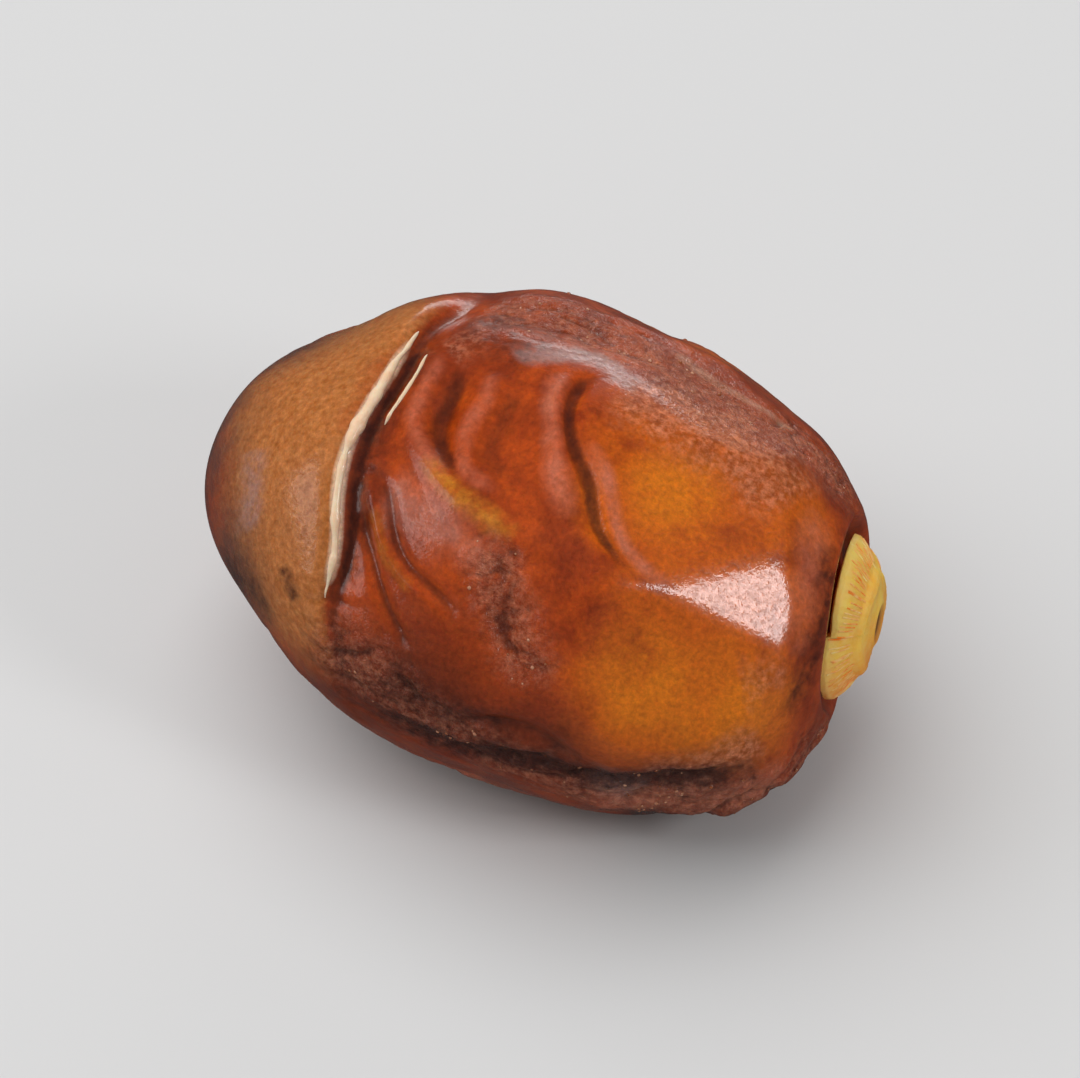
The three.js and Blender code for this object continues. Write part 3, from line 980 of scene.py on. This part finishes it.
def rimMaterial():
    tree = Tree("paleRolledSkin")
    blush = tree.spread(tree.noise(0.6, 3.0, 0.6), 0.4, 0.75, 0.0, 0.4)
    color = tree.mix(blush, skinTones["cream"], skinTones["peach"])
    return tree.finish(
        Base_Color=color,
        Roughness=0.35,
        Normal=tree.bump(tree.noise(0.3, 3.0), 0.08, 0.6),
        Coat_Weight=0.6,
        Coat_Roughness=0.12,
        Subsurface_Weight=0.3,
        Subsurface_Radius=(1.0, 0.5, 0.3),
        Subsurface_Scale=0.6 * mm,
    )


def beadMaterial():
    tree = Tree("syrupGrains")
    color = tree.mix(tree.spread(tree.noise(1.0, 2.0), 0.4, 0.6), skinTones["syrup"], skinTones["darkSyrup"])
    return tree.finish(
        Base_Color=color,
        Roughness=0.2,
        Normal=tree.bump(tree.noise(0.1, 2.0), 0.01, 0.4),
        Coat_Weight=0.8,
        Coat_Roughness=0.08,
        Subsurface_Weight=0.3,
        Subsurface_Radius=(1.0, 0.6, 0.4),
        Subsurface_Scale=0.3 * mm,
    )


calyxTones = {
    "yellow": tone(255, 214, 84),
    "orange": tone(255, 136, 0),
    "straw": tone(255, 226, 146),
    "brown": tone(112, 64, 22),
}


def calyxMaterial():
    tree = Tree("calyxHusk")
    streak = tree.noise(0.5, 4.0, 0.7)
    blotch = tree.noise(1.8, 3.0, 0.6)
    outward = tree.field("outward")
    color = tree.mix(tree.spread(blotch, 0.35, 0.65, 0.1, 0.5), calyxTones["yellow"], calyxTones["orange"])
    color = tree.mix(tree.spread(tree.field("low"), -0.3, 0.6), color, calyxTones["orange"])
    color = tree.mix(tree.spread(streak, 0.4, 0.7, 0.0, 0.3), color, calyxTones["straw"])
    color = tree.mix(tree.spread(outward, 0.88, 1.0, 0.0, 0.3), color, calyxTones["straw"])
    color = tree.mix(tree.spread(outward, 0.28, 0.12, 0.0, 0.9), color, calyxTones["brown"])
    return tree.finish(
        Base_Color=color,
        Roughness=0.5,
        Normal=tree.bump(streak, 0.15, 0.5),
        Subsurface_Weight=0.3,
        Subsurface_Radius=(1.0, 0.6, 0.3),
        Subsurface_Scale=1.0 * mm,
    )


def fibreMaterial():
    tree = Tree("calyxFibre")
    color = tree.mix(tree.spread(tree.noise(0.8, 3.0), 0.35, 0.65), calyxTones["straw"], calyxTones["orange"])
    return tree.finish(Base_Color=color, Roughness=0.6, Normal=tree.bump(tree.noise(0.15, 2.0), 0.02, 0.4))


# A geometry-node tree that starts from one piece's mesh and has named inputs for its sizes
class Pattern:
    def __init__(self, name, sizes):
        self.group = bpy.data.node_groups.new(name, "GeometryNodeTree")
        sockets = self.group.interface
        sockets.new_socket("Geometry", in_out="INPUT", socket_type="NodeSocketGeometry")
        sockets.new_socket("Geometry", in_out="OUTPUT", socket_type="NodeSocketGeometry")
        self.settings = {}
        for label, value in sizes.items():
            kind = "NodeSocketInt" if isinstance(value, int) else "NodeSocketFloat"
            self.settings[sockets.new_socket(label, in_out="INPUT", socket_type=kind).identifier] = value
        self.start = self.group.nodes.new("NodeGroupInput").outputs

    def add(self, kind, inputs, **settings):
        node = self.group.nodes.new(kind)
        for name, value in settings.items():
            setattr(node, name, value)
        for key, value in inputs.items():
            if isinstance(value, bpy.types.NodeSocket):
                self.group.links.new(value, node.inputs[key])
            else:
                node.inputs[key].default_value = value
        return node.outputs

    def math(self, operation, first, second=0.0):
        return self.add("ShaderNodeMath", {0: first, 1: second}, operation=operation)[0]

    def vector(self, x, y, z):
        return self.add("ShaderNodeCombineXYZ", {0: x, 1: y, 2: z})[0]

    # A noise that swings evenly below and above zero
    def swing(self, size):
        noise = self.add("ShaderNodeTexNoise", {"Scale": 1 / (size * mm), "Detail": 2.0})[0]
        return self.math("SUBTRACT", noise, 0.5)

    def attribute(self, name):
        return self.add("GeometryNodeInputNamedAttribute", {"Name": name}, data_type="FLOAT")[0]

    def random(self, low, high, seed):
        return self.add("FunctionNodeRandomValue", {2: low, 3: high, "Seed": seed}, data_type="FLOAT")[1]

    # Runs the tree on the mesh and leaves a plain piece
    def build(self, name, mesh, geometry, material):
        real = self.add("GeometryNodeRealizeInstances", {0: geometry})[0]
        smooth = self.add("GeometryNodeSetShadeSmooth", {"Geometry": real})[0]
        painted = self.add("GeometryNodeSetMaterial", {"Geometry": smooth, "Material": material})[0]
        outlet = self.group.nodes.new("NodeGroupOutput")
        self.group.links.new(painted, outlet.inputs[0])
        source = bpy.data.objects.new(name + "Source", mesh)
        bpy.context.scene.collection.objects.link(source)
        modifier = source.modifiers.new(name, "NODES")
        modifier.node_group = self.group
        for identifier, value in self.settings.items():
            modifier[identifier] = value
        graph = bpy.context.evaluated_depsgraph_get()
        result = bpy.data.meshes.new_from_object(source.evaluated_get(graph))
        source.modifiers.remove(modifier)
        bpy.data.objects.remove(source)
        result.name = name
        piece = bpy.data.objects.new(name, result)
        bpy.context.scene.collection.objects.link(piece)
        print(name, "ready with", len(result.polygons), "faces")
        return piece


beads = {
    "perSquareMetre": 4.0e6,
    "radius": 0.09 * mm,
    "smallest": 0.4,
    "largest": 1.3,
    "flatness": 0.6,
    "clusterSize": 1.6,
    "clusterContrast": 4.0,
    "lowest": 2 * mm,
    "seed": 7,
}


# Small grains of dried syrup, thickest where the skin is leathery and never down at the floor
def makeBeads(skin):
    sizes = {"Density": beads["perSquareMetre"], "Radius": beads["radius"], "Seed": beads["seed"]}
    pattern = Pattern("syrupBeads", sizes)
    start = pattern.start
    position = pattern.add("GeometryNodeInputPosition", {})[0]
    height = pattern.add("ShaderNodeSeparateXYZ", {0: position})[2]
    above = pattern.math("GREATER_THAN", height, beads["lowest"])
    cluster = pattern.math("MULTIPLY", pattern.swing(beads["clusterSize"]), beads["clusterContrast"])
    cluster = pattern.math("MAXIMUM", pattern.math("MULTIPLY", cluster, above), 0.0)
    share = pattern.math("MULTIPLY", pattern.math("POWER", pattern.attribute("rough"), 2.0), cluster)
    density = pattern.math("MULTIPLY", start["Density"], share)
    scatter = {"Mesh": start["Geometry"], "Density": density, "Seed": start["Seed"]}
    points = pattern.add("GeometryNodeDistributePointsOnFaces", scatter, distribute_method="RANDOM")
    bead = pattern.add("GeometryNodeMeshIcoSphere", {"Radius": start["Radius"], "Subdivisions": 2})[0]
    size = pattern.random(beads["smallest"], beads["largest"], start["Seed"])
    flat = pattern.vector(size, size, pattern.math("MULTIPLY", size, beads["flatness"]))
    placed = {"Points": points["Points"], "Instance": bead, "Rotation": points["Rotation"], "Scale": flat}
    scattered = pattern.add("GeometryNodeInstanceOnPoints", placed)[0]
    return pattern.build("syrupBeads", skin.data, scattered, beadMaterial())


# The directions at which the plain body has these points
def bodyDirections(points):
    t = np.clip(points[:, 0] / fruit["halfLength"], -1, 1)
    centres = bodyPoints(np.stack([t, 0 * t, 0 * t], axis=1))
    girths = bodyPoints(np.stack([t, 0 * t + 1, 0 * t], axis=1))[:, 1] - centres[:, 1]
    y = (points[:, 1] - centres[:, 1]) / girths
    z = (points[:, 2] - centres[:, 2]) / girths * fruit["halfWidth"] / fruit["halfHeight"]
    return unit(np.stack([t, y, z], axis=1))


# Rolled edges of loose skin, each a path and its radius
rims = [
    ([[-6.9, -16], [-7.2, -9], [-7.7, 0], [-8.3, 20], [-8.4, 38], [-8.2, 58], [-8.0, 72]], 0.27),
    ([[-6.1, -6], [-6.6, 8], [-7.1, 16]], 0.12),
]
rimShape = {"samples": 120, "taper": 0.6, "wobble": 0.5, "wobbleSize": 1.2, "contrast": 4.0, "sides": 10}


# The middle line of a rolled edge on the finished skin, in millimetres
def rimLine(path, share):
    places = splinePlaces(path)
    knots = np.linspace(0, 1, len(places))
    places = np.stack([np.interp(share, knots, column) for column in places.T], axis=1)
    directions = placeDirections(places)
    body = bodyPoints(directions)
    body -= wandered(body, bodyNormals(directions)) - body
    return skinPoints(bodyDirections(body))[0]


def rimPaths(shift):
    corners = []
    edges = []
    widths = []
    samples = rimShape["samples"]
    share = np.linspace(0, 1, samples)
    fullness = np.sin(math.pi * np.clip(share, 0.01, 0.99)) ** rimShape["taper"]
    for path, radius in rims:
        edges += [(len(corners) + i, len(corners) + i + 1) for i in range(samples - 1)]
        corners += [tuple(point) for point in rimLine(path, share) * mm + shift]
        widths += list(radius * mm * fullness)
    mesh = bpy.data.meshes.new("rimPaths")
    mesh.from_pydata(corners, edges, [])
    addField(mesh, "rimRadius", widths)
    return mesh


def makeRims(shift):
    pattern = Pattern("rolledRims", {"Wobble": rimShape["wobble"], "Sides": rimShape["sides"]})
    start = pattern.start
    curve = pattern.add("GeometryNodeMeshToCurve", {"Mesh": start["Geometry"]})[0]
    wobble = pattern.math("MULTIPLY", pattern.swing(rimShape["wobbleSize"]), start["Wobble"])
    wobble = pattern.math("ADD", pattern.math("MULTIPLY", wobble, rimShape["contrast"]), 1.0)
    width = pattern.math("MULTIPLY", pattern.attribute("rimRadius"), wobble)
    circle = pattern.add("GeometryNodeCurvePrimitiveCircle", {"Resolution": start["Sides"], "Radius": 1.0})[0]
    swept = {"Curve": curve, "Profile Curve": circle, "Scale": width, "Fill Caps": True}
    rolled = pattern.add("GeometryNodeCurveToMesh", swept)[0]
    return pattern.build("rolledRims", rimPaths(shift), rolled, rimMaterial())


fibres = {
    "count": 84,
    "length": 1.25 * mm,
    "radius": 0.045 * mm,
    "sides": 5,
    "points": 9,
    "innerRadius": 2.85 * mm,
    "rootSpread": 0.35 * mm,
    "shortest": 0.6,
    "startAhead": 3 * mm,
    "dropReach": 8 * mm,
    "seed": 11,
    "lengthSeed": 3,
}


# Straight strands that stand in a ring in front of the cap's face and point outwards
def fibreStrands(pattern, centre):
    start = pattern.start
    index = pattern.add("GeometryNodeInputIndex", {})[0]
    jitter = pattern.random(-0.5, 0.5, start["Seed"])
    angle = pattern.math("MULTIPLY", pattern.math("ADD", index, jitter), 2 * math.pi / fibres["count"])
    spread = pattern.random(0.0, fibres["rootSpread"], start["Seed"])
    radius = pattern.math("ADD", spread, fibres["innerRadius"])
    y = pattern.math("ADD", pattern.math("MULTIPLY", pattern.math("SINE", angle), radius), centre[1])
    z = pattern.math("ADD", pattern.math("MULTIPLY", pattern.math("COSINE", angle), radius), centre[2])
    place = pattern.vector(centre[0] + fibres["startAhead"], y, z)
    roots = pattern.add("GeometryNodePoints", {"Count": start["Count"], "Position": place})[0]
    line = pattern.add("GeometryNodeCurvePrimitiveLine", {"Start": (0, 0, 0), "End": (0, 0, 1)})[0]
    line = pattern.add("GeometryNodeResampleCurve", {"Curve": line, "Count": fibres["points"]})[0]
    turn = pattern.vector(pattern.math("MULTIPLY", angle, -1.0), 0.0, 0.0)
    share = pattern.random(fibres["shortest"], 1.0, fibres["lengthSeed"])
    length = pattern.math("MULTIPLY", start["Length"], share)
    stretched = pattern.vector(length, length, length)
    placed = {"Points": roots, "Instance": line, "Rotation": turn, "Scale": stretched}
    strands = pattern.add("GeometryNodeInstanceOnPoints", placed)[0]
    return pattern.add("GeometryNodeRealizeInstances", {0: strands})[0]


# Short fibres that lie on the cap's face, each point dropped onto it
def makeFibres(husk, shift):
    sizes = {name.title(): fibres[name] for name in ("count", "length", "radius", "seed")}
    pattern = Pattern("calyxFibres", sizes)
    start = pattern.start
    strands = fibreStrands(pattern, (stemCentre * mm + shift).tolist())
    reach = fibres["dropReach"]
    ray = {"Target Geometry": start["Geometry"], "Ray Direction": (-1, 0, 0), "Ray Length": reach}
    hit, spot = pattern.add("GeometryNodeRaycast", ray)[:2]
    dropped = {"Geometry": strands, "Selection": hit, "Position": spot}
    laid = pattern.add("GeometryNodeSetPosition", dropped)[0]
    missed = {"Geometry": laid, "Selection": pattern.math("SUBTRACT", 1.0, hit)}
    laid = pattern.add("GeometryNodeDeleteGeometry", missed, domain="POINT")[0]
    outline = {"Resolution": fibres["sides"], "Radius": start["Radius"]}
    circle = pattern.add("GeometryNodeCurvePrimitiveCircle", outline)[0]
    swept = {"Curve": laid, "Profile Curve": circle, "Fill Caps": True}
    woven = pattern.add("GeometryNodeCurveToMesh", swept)[0]
    return pattern.build("calyxFibres", husk.data, woven, fibreMaterial())


floorLook = {"size": 3.0, "color": (0.7, 0.7, 0.7, 1), "roughness": 0.8}


def makeFloor():
    mesh = bpy.data.meshes.new("paleFloor")
    half = floorLook["size"] / 2
    corners = [(-half, -half, 0), (half, -half, 0), (half, half, 0), (-half, half, 0)]
    mesh.from_pydata(corners, [], [(0, 1, 2, 3)])
    floor = bpy.data.objects.new("paleFloor", mesh)
    bpy.context.scene.collection.objects.link(floor)
    paper = Tree("palePaper")
    mesh.materials.append(paper.finish(Base_Color=floorLook["color"], Roughness=floorLook["roughness"]))
    floor.visible_glossy = False
    print("floor ready")


back = makeCamera()
fruitPiece, shift = makeFruit()
fruitPiece.data.materials.append(skinMaterial())
print("fruit ready")
calyxPiece = makeCalyx(shift)
calyxPiece.data.materials.append(calyxMaterial())
print("calyx ready")
rimPiece = makeRims(shift)
beadPiece = makeBeads(fruitPiece)
fibrePiece = makeFibres(calyxPiece, shift)
makeSoftboxes(back, shift)
makeSky()
makeFloor()

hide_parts("date_fruit")
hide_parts("calyx_cap")
for piece in (fruitPiece, rimPiece, beadPiece):
    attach(piece, "root")
for piece in (calyxPiece, fibrePiece):
    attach(piece, "root")
